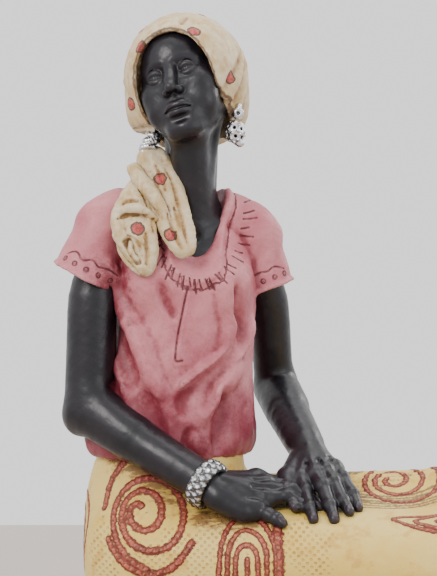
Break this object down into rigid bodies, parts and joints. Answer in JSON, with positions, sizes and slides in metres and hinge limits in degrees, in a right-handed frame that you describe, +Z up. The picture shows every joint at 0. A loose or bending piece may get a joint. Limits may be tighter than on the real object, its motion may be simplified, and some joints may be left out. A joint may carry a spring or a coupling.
{
  "type": "seated woman figurine",
  "caption": "Painted resin figurine of a seated woman in a head wrap, blouse and long patterned skirt, legs to one side, hands on her lap, on a felted base.",
  "frame": {"origin": "on the resting face, below the spine", "axes": "+X along the legs, towards the feet; -Y the way she looks; +Z up"},
  "size_m": [0.3524, 0.145, 0.2971],
  "materials": {
    "skin_paint": "satin black paint on cast resin, rubbed lighter on the raised places",
    "blouse_paint": "matt dusty pink paint with a darker red wash in the folds",
    "scarf_paint": "matt cream paint with an ochre wash and painted red dots",
    "skirt_paint": "matt straw yellow paint with incised red-brown spiral bands and a pressed mesh texture",
    "silver_paint": "silver paint, darkened in the hollows",
    "pin_steel": "plain steel dowel",
    "board": "raw fibreboard",
    "felt": "black self-adhesive felt"
  },
  "bodies": {
    "root": {"skirt_casting": "skirt_paint", "torso_casting": "blouse_paint", "head_casting": "skin_paint", "headscarf_casting": "scarf_paint", "scarf_tail_inner": "scarf_paint", "scarf_tail_outer": "scarf_paint", "right_arm_casting": "skin_paint", "left_arm_casting": "skin_paint", "right_foot_casting": "skin_paint", "left_foot_casting": "skin_paint", "bracelet": "silver_paint", "earring_right": "silver_paint", "earring_left": "silver_paint", "base_board": "board", "felt_pad": "felt", "neck_pin": "pin_steel", "right_shoulder_pin": "pin_steel", "left_shoulder_pin": "pin_steel", "right_foot_pin": "pin_steel", "left_foot_pin": "pin_steel"}
  },
  "joints": []
}
